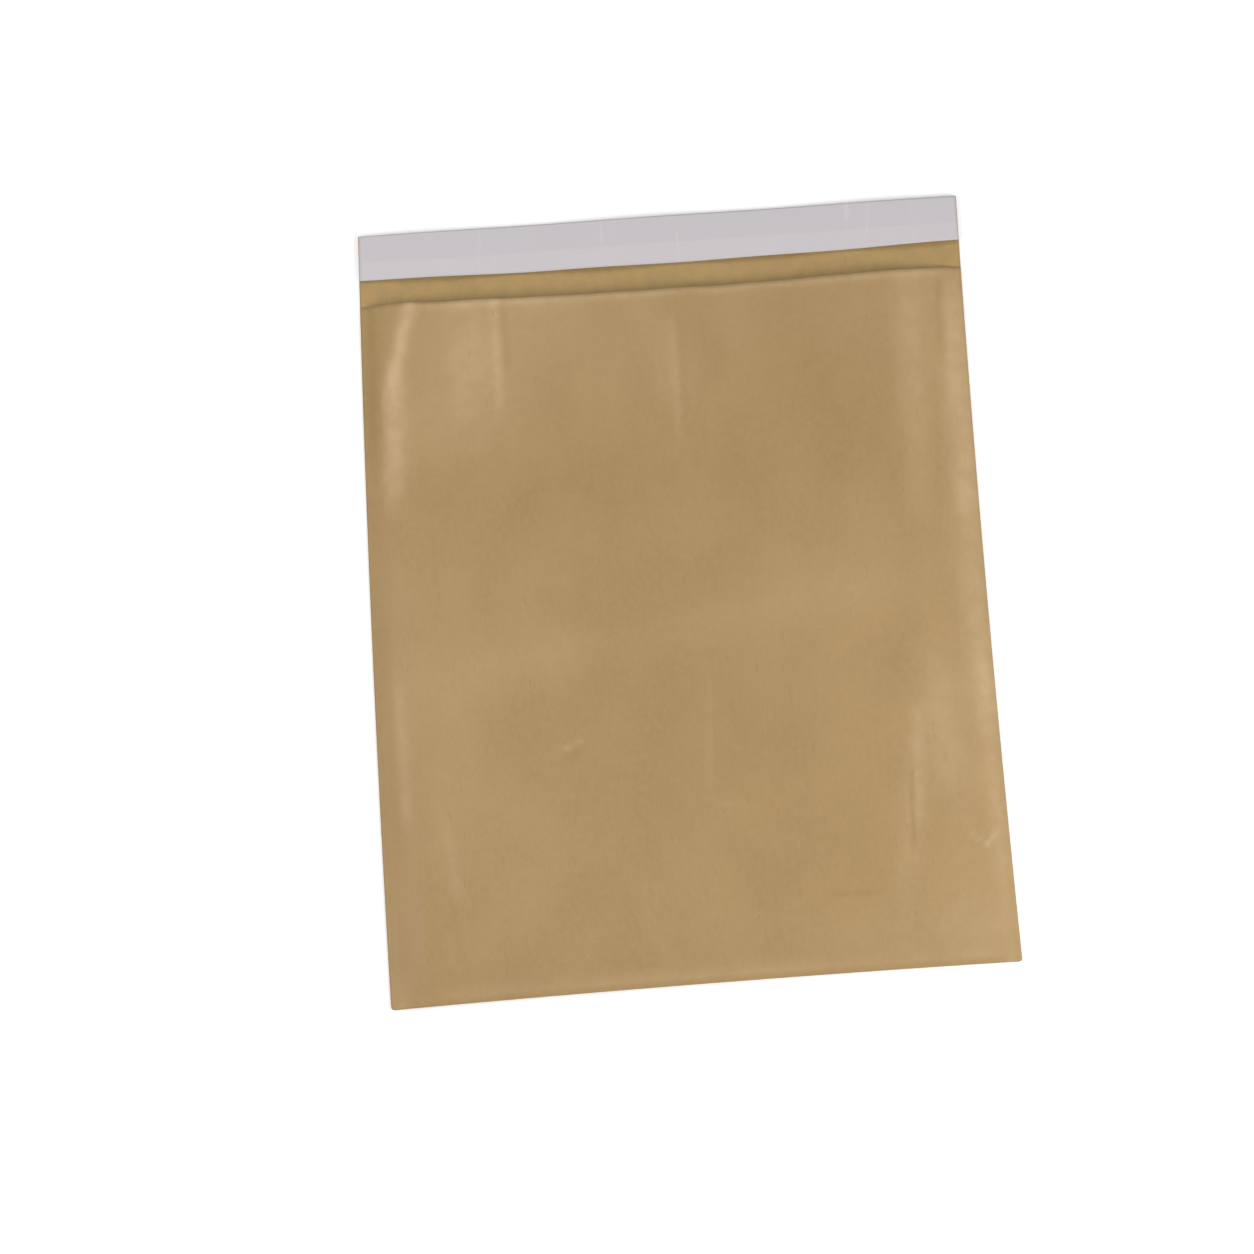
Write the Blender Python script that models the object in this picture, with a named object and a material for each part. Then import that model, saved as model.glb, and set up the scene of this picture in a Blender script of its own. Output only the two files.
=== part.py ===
"""Padded mailing envelope, empty and open, lying on its back.

A kraft paper cover is folded up once and bonded along both sides into a pocket, with one panel left long as the flap.
A bubble lining fills the pocket, an adhesive strip lies on the flap, and a release liner covers the adhesive.

Units are metres. +X is to the right, +Y points to the flap and +Z is up. The origin is the centre of the envelope's
outline, on the surface that it lies on. Places on the sheet are given as a distance across it, from its left edge,
and along it, from the bottom fold.
"""
import math
from collections import namedtuple

import bmesh
import bpy
import numpy as np

# Outline of the folded sheet
WIDTH = 0.305
POCKET_LENGTH = 0.356
FLAP_LENGTH = 0.038
SIDE_BOW = 0.0017
BOTTOM_BOW = 0.0011
MOUTH_BOW = 0.0028
LEFT_CORNER_RADIUS = 0.003
RIGHT_CORNER_RADIUS = 0.0015

# Plies: the paper, the two pads of the lining, and the clearance between plies that touch
PAPER = 0.00025
PAD = 0.0018
MOUTH_PAD = 0.0009
PLY_GAP = 0.0003

# Pocket: the room inside the lining, the bonded side seams and the rounded bottom fold
POCKET_ROOM = 0.0046
SEAM_WIDTH = 0.0055
SEAM_EDGE_HEIGHT = 0.0009
SEAM_INNER_HEIGHT = 0.0017
FOLD_DEPTH = 0.0012
LEFT_SHOULDER = 0.017
RIGHT_SHOULDER = 0.036
BOTTOM_SHOULDER = 0.032
MOUTH_TAPER = 0.030

# Lining: how far it stays back from the mouth, its solid rim, and the most of the height that one pad may take
LINING_SETBACK = 0.002
LINING_RIM = 0.006
PAD_SHARE = 0.42

# Flap: its free edge lifts a little and ripples
FLAP_LIFT = 0.0007
FLAP_RIPPLE = 0.0004
FLAP_RIPPLE_PITCH = 0.118

# Adhesive strip and release liner, placed from the flap's free edge
ADHESIVE_THICKNESS = 0.0002
ADHESIVE_WIDTH = 0.0135
ADHESIVE_MARGIN = 0.0012
ADHESIVE_END_MARGIN = 0.002
LINER_THICKNESS = 0.0002
LINER_WIDTH = 0.024
LINER_MARGIN = 0.0003
LINER_CURL = 0.0005
LINER_CURL_PITCH = 0.082

# Grid of the sheets: the widest step between columns and between rows, and the one inside the lining
COLUMN_STEP = 0.0105
ROW_STEP = 0.0125
INSIDE_STEP = 0.034
SMOOTH_ANGLE = math.radians(35)

# Colours as sRGB, from 0 to 255
KRAFT = (176, 150, 108)
BUBBLE_FILM = (222, 224, 226)
HOT_MELT = (196, 190, 172)
LINER_PAPER = (201, 200, 206)

# Sizes that follow from the ones above
LENGTH = POCKET_LENGTH + FLAP_LENGTH
FULL_HEIGHT = 2 * (PAPER + PLY_GAP + PAD) + POCKET_ROOM
CAVITY_FLOOR = PAPER
LINING_FLOOR = PAPER + PLY_GAP

# A soft crease in the front panel, from one point to another, each as a distance from the left edge and the mouth
Crease = namedtuple("Crease", "start end half_width height")
LEFT_CREASE_TOP = Crease(start=(0.0255, 0.005), end=(0.0145, 0.048), half_width=0.004, height=0.0005)
LEFT_CREASE = Crease(start=(0.0145, 0.048), end=(0.0155, 0.100), half_width=0.004, height=0.0005)
MOUTH_PLEAT_LEFT = Crease(start=(0.0685, 0.004), end=(0.0690, 0.078), half_width=0.003, height=0.00035)
MOUTH_PLEAT_MIDDLE = Crease(start=(0.1580, 0.010), end=(0.1590, 0.089), half_width=0.003, height=0.0003)
CROSS_BEND = Crease(start=(0.0525, 0.179), end=(0.2455, 0.167), half_width=0.013, height=0.0005)
RIGHT_CREASE = Crease(start=(0.2625, 0.224), end=(0.2535, 0.346), half_width=0.005, height=-0.0005)
CREASES = (LEFT_CREASE_TOP, LEFT_CREASE, MOUTH_PLEAT_LEFT, MOUTH_PLEAT_MIDDLE, CROSS_BEND, RIGHT_CREASE)


def clamp(value):
    return min(max(value, 0.0), 1.0)


def shoulder(distance, width):
    """Rise from 0 to 1 like a sheet that leaves a seam steeply and rolls over onto the padding."""
    return math.sin(0.5 * math.pi * clamp(distance / width))


def ease(distance, width):
    """Rise from 0 to 1 with a level start and end."""
    share = clamp(distance / width)
    return share * share * (3 - 2 * share)


def place(across, along):
    """Plan position of a point of the sheet, with the bowed edges and the rounded bottom corners."""
    across, along = round_corner(across, along)
    x = across - 0.5 * WIDTH
    y = along - 0.5 * LENGTH
    lengthwise = 2 * y / LENGTH
    crown = 1 - (2 * x / WIDTH) ** 2
    from_fold = clamp(along / POCKET_LENGTH)
    to_free_edge = clamp((LENGTH - along) / FLAP_LENGTH)
    x += SIDE_BOW * (lengthwise ** 2 - 0.5)
    y += BOTTOM_BOW * crown * (1 - from_fold)
    y -= MOUTH_BOW * crown * from_fold * to_free_edge
    return x, y


def round_corner(across, along):
    """Move a point of a bottom corner's square into the quarter disc that rounds the corner."""
    on_left = across < 0.5 * WIDTH
    radius = LEFT_CORNER_RADIUS if on_left else RIGHT_CORNER_RADIUS
    inset = across if on_left else WIDTH - across
    if inset >= radius or along >= radius:
        return across, along
    p = 1 - inset / radius
    q = 1 - along / radius
    inset = radius * (1 - p * math.sqrt(1 - 0.5 * q * q))
    along = radius * (1 - q * math.sqrt(1 - 0.5 * p * p))
    return (inset if on_left else WIDTH - inset), along


def crease_height(across, along):
    """Height that the creases add to the front panel."""
    point = np.array((across, POCKET_LENGTH - along))
    total = 0.0
    for crease in CREASES:
        start = np.array(crease.start)
        run = np.array(crease.end) - start
        share = clamp(float(np.dot(point - start, run) / np.dot(run, run)))
        distance = np.linalg.norm(point - start - share * run)
        total += crease.height * math.exp(-(distance / crease.half_width) ** 2)
    return total


def mouth_thinning(along):
    """How much thinner the front pad is near the mouth."""
    return (PAD - MOUTH_PAD) * (1 - ease(POCKET_LENGTH - along, MOUTH_TAPER))


def front_height(across, along):
    """Height of the front panel's outer face."""
    from_left = across - SEAM_WIDTH
    from_right = WIDTH - across - SEAM_WIDTH
    if min(from_left, from_right) < 0:
        outward = -min(from_left, from_right) / SEAM_WIDTH
        return SEAM_INNER_HEIGHT + (SEAM_EDGE_HEIGHT - SEAM_INNER_HEIGHT) * outward
    puff = shoulder(from_left, LEFT_SHOULDER) * shoulder(from_right, RIGHT_SHOULDER)
    puff *= shoulder(along, BOTTOM_SHOULDER)
    rise = FULL_HEIGHT - SEAM_INNER_HEIGHT - mouth_thinning(along) + crease_height(across, along)
    return SEAM_INNER_HEIGHT + rise * puff


def flap_height(across, along):
    """Height of the flap's underside, which lies flat at the mouth and lifts towards the free edge."""
    outward = ease(along - POCKET_LENGTH, FLAP_LENGTH)
    ripple = FLAP_RIPPLE * math.sin(2 * math.pi * across / FLAP_RIPPLE_PITCH)
    return outward * (FLAP_LIFT + ripple)


def liner_curl(across, along):
    """How far the release liner's loose lower edge stands off the flap."""
    loose = ease(LENGTH - along - ADHESIVE_WIDTH, LINER_WIDTH - ADHESIVE_WIDTH)
    return loose * LINER_CURL * (0.5 - 0.5 * math.cos(2 * math.pi * across / LINER_CURL_PITCH))


def filled(anchors, step):
    """Sorted positions: the anchors, and even steps between any two that are further apart than step."""
    anchors = sorted(anchors)
    positions = [anchors[0]]
    for low, high in zip(anchors, anchors[1:]):
        count = math.ceil((high - low) / step - 1e-9)
        positions.extend(low + (high - low) * k / count for k in range(1, count))
        positions.append(high)
    return positions


def column_positions():
    """Distances across the sheet of the grid's columns, closer at the seams, shoulders and pleats."""
    anchors = [0.0, 0.5 * LEFT_CORNER_RADIUS, LEFT_CORNER_RADIUS, SEAM_WIDTH]
    anchors += [SEAM_WIDTH + share * LEFT_SHOULDER for share in (0.15, 0.35, 0.6, 1.0)]
    for pleat in (MOUTH_PLEAT_LEFT, MOUTH_PLEAT_MIDDLE):
        anchors += [pleat.start[0] + side * pleat.half_width for side in (-1.2, 0, 1.2)]
    anchors += [WIDTH - SEAM_WIDTH - share * RIGHT_SHOULDER for share in (1.0, 0.75, 0.5, 0.3, 0.14, 0.0)]
    anchors += [WIDTH - RIGHT_CORNER_RADIUS, WIDTH]
    return filled(anchors, COLUMN_STEP)


def row_positions():
    """Distances along the sheet of the pocket's rows above the bottom fold, closer at the ends."""
    anchors = [FOLD_DEPTH]
    anchors += [FOLD_DEPTH + share * BOTTOM_SHOULDER for share in (0.08, 0.22, 0.4, 0.65, 1.0)]
    anchors += [POCKET_LENGTH - MOUTH_TAPER * share for share in (1.0, 0.66, 0.33)]
    anchors += [POCKET_LENGTH - LINING_SETBACK, POCKET_LENGTH]
    return filled(anchors, ROW_STEP)


def flap_positions():
    """Distances along the sheet of the flap's rows, from the mouth to the free edge."""
    liner_edge = LENGTH - LINER_WIDTH
    adhesive_edge = LENGTH - ADHESIVE_MARGIN - ADHESIVE_WIDTH
    adhesive_middle = adhesive_edge + 0.5 * ADHESIVE_WIDTH
    liner_middle = 0.5 * (liner_edge + adhesive_edge)
    adhesive_top = LENGTH - ADHESIVE_MARGIN
    return [POCKET_LENGTH, 0.5 * (POCKET_LENGTH + liner_edge), liner_edge, liner_middle,
            adhesive_edge, adhesive_middle, adhesive_top, LENGTH]


# Angles round the bottom fold, from the underside to the top
FOLD_ANGLES = [math.radians(angle) for angle in (-90, -45, 0, 45, 90)]


def front_column(across, rows, inset, inward=0.0):
    """Points of the front panel at one column, from under the bottom fold to the last row.

    inset is how far the face lies inside the cover's outer face, and inward moves the column off the seam.
    """
    column = across + inward
    fold_top = front_height(column, FOLD_DEPTH)
    points = []
    for angle in FOLD_ANGLES:
        along = FOLD_DEPTH - (FOLD_DEPTH - inset) * math.cos(angle)
        height = 0.5 * fold_top + (0.5 * fold_top - inset) * math.sin(angle)
        points.append((*place(column, along), height))
    for along in rows[1:]:
        points.append((*place(column, along), front_height(column, along) - inset))
    return points


def sheet_points(columns, rows, height):
    """Grid of points, one list for each column, at a height given by a function of the place on the sheet."""
    return [[(*place(across, along), height(across, along)) for along in rows] for across in columns]


def add_points(bm, grid):
    """Make the vertices of a grid of points."""
    return [[bm.verts.new(point) for point in column] for column in grid]


def strip(bm, one, other):
    """Join two lines of vertices, as many in each, with four-sided faces."""
    for k in range(len(one) - 1):
        bm.faces.new((one[k], one[k + 1], other[k + 1], other[k]))


def skin(bm, grid):
    """Cover a grid of vertices with four-sided faces."""
    for one, other in zip(grid, grid[1:]):
        strip(bm, one, other)


def fold_end(bm, column):
    """Close the rounded end of the bottom fold on the side of one column of vertices."""
    last = len(FOLD_ANGLES) - 1
    middle = last // 2
    for k in range(middle - 1):
        bm.faces.new((column[k], column[k + 1], column[last - k - 1], column[last - k]))
    bm.faces.new((column[middle - 1], column[middle], column[middle + 1]))


def slab(bm, top, bottom, closed_ends=(0, -1)):
    """Join two grids of vertices, one above the other, with walls on both sides and at the ends that are closed."""
    skin(bm, top)
    skin(bm, bottom)
    strip(bm, top[0], bottom[0])
    strip(bm, top[-1], bottom[-1])
    for end in closed_ends:
        strip(bm, [column[end] for column in top], [column[end] for column in bottom])


def finish(bm, name, material):
    """Turn the mesh into a named object with smooth shading and its material."""
    bmesh.ops.recalc_face_normals(bm, faces=bm.faces[:])
    mesh = bpy.data.meshes.new(name)
    bm.to_mesh(mesh)
    bm.free()
    mesh.shade_smooth()
    mesh.set_sharp_from_angle(angle=SMOOTH_ANGLE)
    mesh.materials.append(material)
    part = bpy.data.objects.new(name, mesh)
    bpy.context.scene.collection.objects.link(part)
    return part


def linear(srgb):
    """Colour for a shader, from an sRGB colour of 0 to 255."""
    shares = [value / 255 for value in srgb]
    return [share / 12.92 if share <= 0.04045 else ((share + 0.055) / 1.055) ** 2.4 for share in shares] + [1.0]


def make_material(name, srgb, roughness):
    """Principled material of one colour; nothing here is metal."""
    material = bpy.data.materials.new(name)
    material.use_nodes = True
    shader = material.node_tree.nodes["Principled BSDF"]
    shader.inputs["Base Color"].default_value = linear(srgb)
    shader.inputs["Roughness"].default_value = roughness
    shader.inputs["Metallic"].default_value = 0.0
    return material


def make_kraft_cover(columns, rows):
    """The one folded sheet: back panel and flap, bottom fold, front panel, and the bonded side seams."""
    bm = bmesh.new()
    flap_rows = flap_positions()
    fold = len(FOLD_ANGLES) - 1
    left = columns.index(SEAM_WIDTH)
    right = len(columns) - 1 - columns[::-1].index(WIDTH - SEAM_WIDTH)
    inner = columns[left:right + 1]

    outer = add_points(bm, [front_column(across, rows, 0.0) for across in columns])
    ceiling = add_points(bm, [front_column(across, rows, PAPER) for across in inner])
    flap_top = add_points(bm, sheet_points(columns, flap_rows, lambda u, v: flap_height(u, v) + PAPER))
    flap_under = add_points(bm, sheet_points(columns, flap_rows, flap_height))
    skin(bm, outer)
    skin(bm, ceiling)
    slab(bm, flap_top, flap_under, closed_ends=(-1,))

    # Each side is a low wall from the bottom fold to the mouth, where it meets the flap's edge
    feet = []
    for side in (0, -1):
        fold_end(bm, outer[side])
        wall = outer[side][fold:]
        foot = [outer[side][0]]
        foot += [bm.verts.new((*place(columns[side], along), 0.0)) for along in rows[1:-1]]
        strip(bm, wall[:-1], foot)
        bm.faces.new((wall[-2], wall[-1], flap_top[side][0], flap_under[side][0], foot[-1]))
        feet.append(foot[1:])
    underside = [column[0] for column in outer] + feet[1]
    underside += [column[0] for column in flap_under][::-1] + feet[0][::-1]
    bm.faces.new(underside)

    # Inside the pocket the floor is one flat face, with a low wall at each seam
    feet = []
    for side, across in ((0, inner[0]), (-1, inner[-1])):
        fold_end(bm, ceiling[side])
        foot = [ceiling[side][0]]
        foot += [bm.verts.new((*place(across, along), CAVITY_FLOOR)) for along in rows[1:-1]]
        foot.append(flap_top[left if side == 0 else right][0])
        strip(bm, ceiling[side][fold:], foot)
        feet.append(foot)
    floor = [column[0] for column in ceiling] + feet[1][1:-1]
    floor += [column[0] for column in flap_top[left:right + 1]][::-1] + feet[0][1:-1][::-1]
    bm.faces.new(floor)

    # At the mouth the front panel ends in a cut edge, and each seam ends in a step down to the flap
    rim_outer = [column[-1] for column in outer]
    rim_inner = [column[-1] for column in ceiling]
    hinge = [column[0] for column in flap_top]
    strip(bm, rim_outer[left:right + 1], rim_inner)
    strip(bm, rim_outer[:left], hinge[:left])
    strip(bm, rim_outer[right + 1:], hinge[right + 1:])
    bm.faces.new((rim_outer[left - 1], rim_outer[left], rim_inner[0], hinge[left], hinge[left - 1]))
    bm.faces.new((rim_outer[right + 1], rim_outer[right], rim_inner[-1], hinge[right], hinge[right + 1]))
    return finish(bm, "kraft_cover", make_material("kraft_paper", KRAFT, 0.62))


def make_bubble_lining(columns, rows):
    """The padding: a closed pouch of two pads inside the cover, open at the mouth."""
    bm = bmesh.new()
    fold = len(FOLD_ANGLES) - 1
    inset = PAPER + PLY_GAP
    seats = [across for across in columns if SEAM_WIDTH <= across <= WIDTH - SEAM_WIDTH]
    lining_rows = rows[:-1]
    offsets = [0.0] * len(seats)
    offsets[0] = PLY_GAP
    offsets[-1] = -PLY_GAP
    outer = add_points(bm, [front_column(u, lining_rows, inset, inward=d) for u, d in zip(seats, offsets)])
    skin(bm, outer)

    feet = []
    for side in (0, -1):
        fold_end(bm, outer[side])
        across = seats[side] + offsets[side]
        foot = [outer[side][0]]
        foot += [bm.verts.new((*place(across, along), LINING_FLOOR)) for along in lining_rows[1:]]
        strip(bm, outer[side][fold:], foot)
        feet.append(foot)
    base_end = [bm.verts.new((*place(across, lining_rows[-1]), LINING_FLOOR)) for across in seats[1:-1]]
    base = [column[0] for column in outer] + feet[1][1:] + base_end[::-1] + feet[0][1:][::-1]
    bm.faces.new(base)

    room_columns, room_rows = room_positions()
    ceiling = add_points(bm, sheet_points(room_columns, room_rows, room_ceiling))
    floor = add_points(bm, sheet_points(room_columns, room_rows, room_floor))
    slab(bm, ceiling, floor, closed_ends=(0,))

    # The cut end of the padding at the mouth: upper pad, lower pad, and the rim on each side
    top_edge = [column[-1] for column in outer]
    bottom_edge = [feet[0][-1]] + base_end + [feet[1][-1]]
    room_top = [column[-1] for column in ceiling]
    room_bottom = [column[-1] for column in floor]
    bm.faces.new(top_edge + room_top[::-1])
    bm.faces.new(bottom_edge + room_bottom[::-1])
    bm.faces.new((top_edge[0], room_top[0], room_bottom[0], bottom_edge[0]))
    bm.faces.new((top_edge[-1], room_top[-1], room_bottom[-1], bottom_edge[-1]))
    return finish(bm, "bubble_lining", make_material("bubble_film", BUBBLE_FILM, 0.3))


def room_positions():
    """Columns and rows of the coarser grid of the room inside the lining."""
    shares = (0.6, 1.0)
    columns = [SEAM_WIDTH + LINING_RIM, WIDTH - SEAM_WIDTH - LINING_RIM]
    columns += [SEAM_WIDTH + share * LEFT_SHOULDER for share in shares]
    columns += [WIDTH - SEAM_WIDTH - share * RIGHT_SHOULDER for share in shares]
    rows = [LINING_RIM, 0.5 * BOTTOM_SHOULDER, BOTTOM_SHOULDER]
    rows += [POCKET_LENGTH - MOUTH_TAPER, POCKET_LENGTH - 0.4 * MOUTH_TAPER, POCKET_LENGTH - LINING_SETBACK]
    return filled(columns, INSIDE_STEP), filled(rows, INSIDE_STEP)


def lining_height(across, along):
    """Height of the space between the lining's outer faces."""
    return front_height(across, along) - PAPER - PLY_GAP - LINING_FLOOR


def room_floor(across, along):
    """Top of the back pad, pressed thin where the pocket closes."""
    return LINING_FLOOR + min(PAD, PAD_SHARE * lining_height(across, along))


def room_ceiling(across, along):
    """Underside of the front pad, which is thinner near the mouth and where the pocket closes."""
    free = lining_height(across, along)
    return LINING_FLOOR + free - min(PAD - mouth_thinning(along), PAD_SHARE * free)


def make_adhesive_strip(columns):
    """The band of hot-melt adhesive on the flap."""
    bm = bmesh.new()
    ends = [ADHESIVE_END_MARGIN, WIDTH - ADHESIVE_END_MARGIN]
    spots = ends + [across for across in columns if ends[0] < across < ends[1]]
    lowest = LENGTH - ADHESIVE_MARGIN - ADHESIVE_WIDTH
    rows = [v for v in flap_positions() if lowest <= v <= LENGTH - ADHESIVE_MARGIN]
    under = PAPER + PLY_GAP
    bottom = add_points(bm, sheet_points(sorted(spots), rows, lambda u, v: flap_height(u, v) + under))
    over = under + ADHESIVE_THICKNESS
    top = add_points(bm, sheet_points(sorted(spots), rows, lambda u, v: flap_height(u, v) + over))
    slab(bm, top, bottom)
    return finish(bm, "adhesive_strip", make_material("hot_melt", HOT_MELT, 0.25))


def make_release_liner(columns):
    """The strip of release paper over the adhesive, with a loose lower edge to peel it by."""
    bm = bmesh.new()
    ends = [LINER_MARGIN, WIDTH - LINER_MARGIN]
    spots = ends + [across for across in columns if ends[0] < across < ends[1]]
    rows = [v for v in flap_positions() if LENGTH - LINER_WIDTH <= v < LENGTH] + [LENGTH - LINER_MARGIN]
    under = PAPER + PLY_GAP + ADHESIVE_THICKNESS + PLY_GAP
    lift = [[flap_height(u, v) + liner_curl(u, v) for v in rows] for u in sorted(spots)]
    plan = [[place(u, v) for v in rows] for u in sorted(spots)]
    grids = []
    for height in (under + LINER_THICKNESS, under):
        grids.append(add_points(bm, [[(*spot, rise + height) for spot, rise in zip(*pair)]
                                     for pair in zip(plan, lift)]))
    slab(bm, *grids)
    return finish(bm, "release_liner", make_material("release_paper", LINER_PAPER, 0.45))


def main():
    for item in list(bpy.data.objects):
        bpy.data.objects.remove(item, do_unlink=True)
    columns = column_positions()
    rows = row_positions()
    make_kraft_cover(columns, rows)
    make_bubble_lining(columns, rows)
    make_adhesive_strip(columns)
    make_release_liner(columns)


main()
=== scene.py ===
"""Looks of a padded envelope: kraft cover, bubble lining, adhesive and release liner, in a plain studio.

Places on the sheet are distances across, from its left edge, and along, from the bottom fold, in metres.
"""
import math

import bpy
import numpy as np
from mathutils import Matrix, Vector


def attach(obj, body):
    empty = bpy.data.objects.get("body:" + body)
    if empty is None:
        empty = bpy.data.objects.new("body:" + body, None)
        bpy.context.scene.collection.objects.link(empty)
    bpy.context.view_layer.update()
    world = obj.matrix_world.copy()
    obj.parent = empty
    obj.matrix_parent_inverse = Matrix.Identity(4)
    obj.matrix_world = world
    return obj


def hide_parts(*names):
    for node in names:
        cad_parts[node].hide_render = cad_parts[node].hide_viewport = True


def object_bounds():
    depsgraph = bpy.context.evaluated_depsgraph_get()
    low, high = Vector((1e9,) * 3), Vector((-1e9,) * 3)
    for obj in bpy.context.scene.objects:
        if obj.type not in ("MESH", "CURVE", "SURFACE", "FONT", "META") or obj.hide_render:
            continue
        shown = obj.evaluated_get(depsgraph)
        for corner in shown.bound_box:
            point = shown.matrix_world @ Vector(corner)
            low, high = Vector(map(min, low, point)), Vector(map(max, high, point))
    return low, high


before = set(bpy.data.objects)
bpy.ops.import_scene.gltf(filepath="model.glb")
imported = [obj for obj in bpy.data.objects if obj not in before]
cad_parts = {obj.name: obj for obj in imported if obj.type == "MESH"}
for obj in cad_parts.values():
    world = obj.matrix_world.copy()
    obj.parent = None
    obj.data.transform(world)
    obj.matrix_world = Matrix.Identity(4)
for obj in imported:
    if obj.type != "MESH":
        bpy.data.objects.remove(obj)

BODY = "root"
cad_box = [list(map(float, corner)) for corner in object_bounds()]

# Outline of the sheet
WIDTH = 0.305
POCKET_LENGTH = 0.356
FLAP_LENGTH = 0.038
LENGTH = POCKET_LENGTH + FLAP_LENGTH
SIDE_BOW = 0.0017
BOTTOM_BOW = 0.0011
BOTTOM_SKEW = 0.0021
MOUTH_BOW = 0.0028
LEFT_CORNER_RADIUS = 0.0018
RIGHT_CORNER_RADIUS = 0.0015

# Plies, and the clearance between them
PAPER = 0.00025
PAD = 0.0018
MOUTH_PAD = 0.0009
PLY_GAP = 0.0003
POCKET_ROOM = 0.0046
FULL_HEIGHT = 2 * (PAPER + PLY_GAP + PAD) + POCKET_ROOM

# Form of the pocket
SEAM_WIDTH = 0.0055
SEAM_LEVEL_WIDTH = 0.00165
SEAM_GLUE = 0.00005
SEAM_HEIGHT = 2 * PAPER + SEAM_GLUE
FOLD_DEPTH = 0.0012
FOLD_HEIGHT = 0.0017
LEFT_SHOULDER = 0.017
RIGHT_SHOULDER = 0.036
BOTTOM_SHOULDER = 0.032
MOUTH_TAPER = 0.030
MOUTH_DROOP = 0.0028
DROOP_LENGTH = 0.075
MOUTH_RIPPLE = 0.0005
MOUTH_RIPPLE_PITCH = 0.093
MOUTH_RIPPLE_PHASE = 0.8
SHORT_RIPPLE_SHARE = 0.6
SHORT_RIPPLE_RATE = 2.7

# Flap, adhesive and release liner
FLAP_LIFT = 0.0007
FLAP_RIPPLE = 0.0004
FLAP_RIPPLE_PITCH = 0.118
ADHESIVE_THICKNESS = 0.0002
ADHESIVE_WIDTH = 0.0135
ADHESIVE_MARGIN = 0.0012
ADHESIVE_END_MARGIN = 0.002
LINER_THICKNESS = 0.0002
LINER_WIDTH = 0.024
LINER_MARGIN = 0.0003
LINER_CURL = 0.0010
LINER_CURL_PITCH = 0.082

# Bubble lining: its film, and the air bubbles sealed onto it
LINING_SETBACK = 0.002
FILM_SIDE_INSET = 0.0088
FILM = 0.00012
FILM_GAP = 0.0001
BUBBLE_RADIUS = 0.0046
BUBBLE_PITCH = 0.0104
BUBBLE_HEIGHT = 0.0014
BUBBLE_ROOM_SHARE = 0.4
BUBBLE_SIDE_MARGIN = 0.011
BUBBLE_MOUTH_MARGIN = 0.00092
BUBBLE_FOLD_MARGIN = 0.0046
BUBBLE_SIDES = 8
# Rings of a bubble from its foot up: share of its radius, share of its height
BUBBLE_RINGS = ((1.0, 0.0), (0.96, 0.5), (0.82, 0.82), (0.5, 0.97))

# Steps of the fine grids, and the number of points round the bottom fold
ACROSS_STEP = 0.0016
ALONG_STEP = 0.0026
BACK_STEP = 0.012
FLAP_STEP = 0.0026
LINER_STEP = 0.0013
FILM_STEP = 0.0045
FOLD_POINTS = 13

# A soft line fades so many times more slowly past its ends than at its sides
LINE_END_STRETCH = 3.0

# Soft creases of the front panel: start and end from the left edge and the mouth, half width, height
CREASES = (
    # The long crease beside the left seam, in three runs
    ((0.0250, 0.004), (0.0150, 0.048), 0.0040, 0.0008),
    ((0.0150, 0.048), (0.0160, 0.100), 0.0045, 0.0008),
    ((0.0160, 0.100), (0.0170, 0.330), 0.0070, 0.0003),
    # Short creases below the mouth
    ((0.0685, 0.002), (0.0690, 0.078), 0.0024, 0.00035),
    ((0.0730, 0.010), (0.0740, 0.070), 0.0030, -0.0002),
    ((0.1580, 0.008), (0.1590, 0.089), 0.0030, 0.0003),
    # The wide swell across the middle
    ((0.0525, 0.179), (0.2455, 0.167), 0.0130, 0.0005),
    # The valley near the lower right, and two faint folds in the middle
    ((0.2625, 0.224), (0.2535, 0.346), 0.0050, -0.0005),
    ((0.1660, 0.200), (0.1625, 0.267), 0.0020, -0.00015),
    ((0.1640, 0.271), (0.1790, 0.275), 0.0025, 0.0002),
)

# Gentle waves of the front panel over its padding: waves in a metre across and along, height, phase
WAVES = (
    (11.0, 6.0, 0.00016, 0.4),
    (-7.0, 13.0, 0.00016, 2.1),
    (19.0, -4.0, 0.00009, 4.0),
    (5.0, 21.0, 0.00009, 1.2),
    (26.0, 17.0, 0.00005, 5.1),
    (-23.0, 29.0, 0.00005, 3.3),
)

# Short faint wrinkles scattered over the front panel
WRINKLES = 26
WRINKLE_SEED = 11
WRINKLE_SIDE_MARGIN = 0.04
WRINKLE_END_MARGIN = 0.03
WRINKLE_HALF_LENGTHS = (0.008, 0.022)
WRINKLE_HALF_WIDTHS = (0.0022, 0.004)
WRINKLE_HEIGHT = 0.0002

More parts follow.
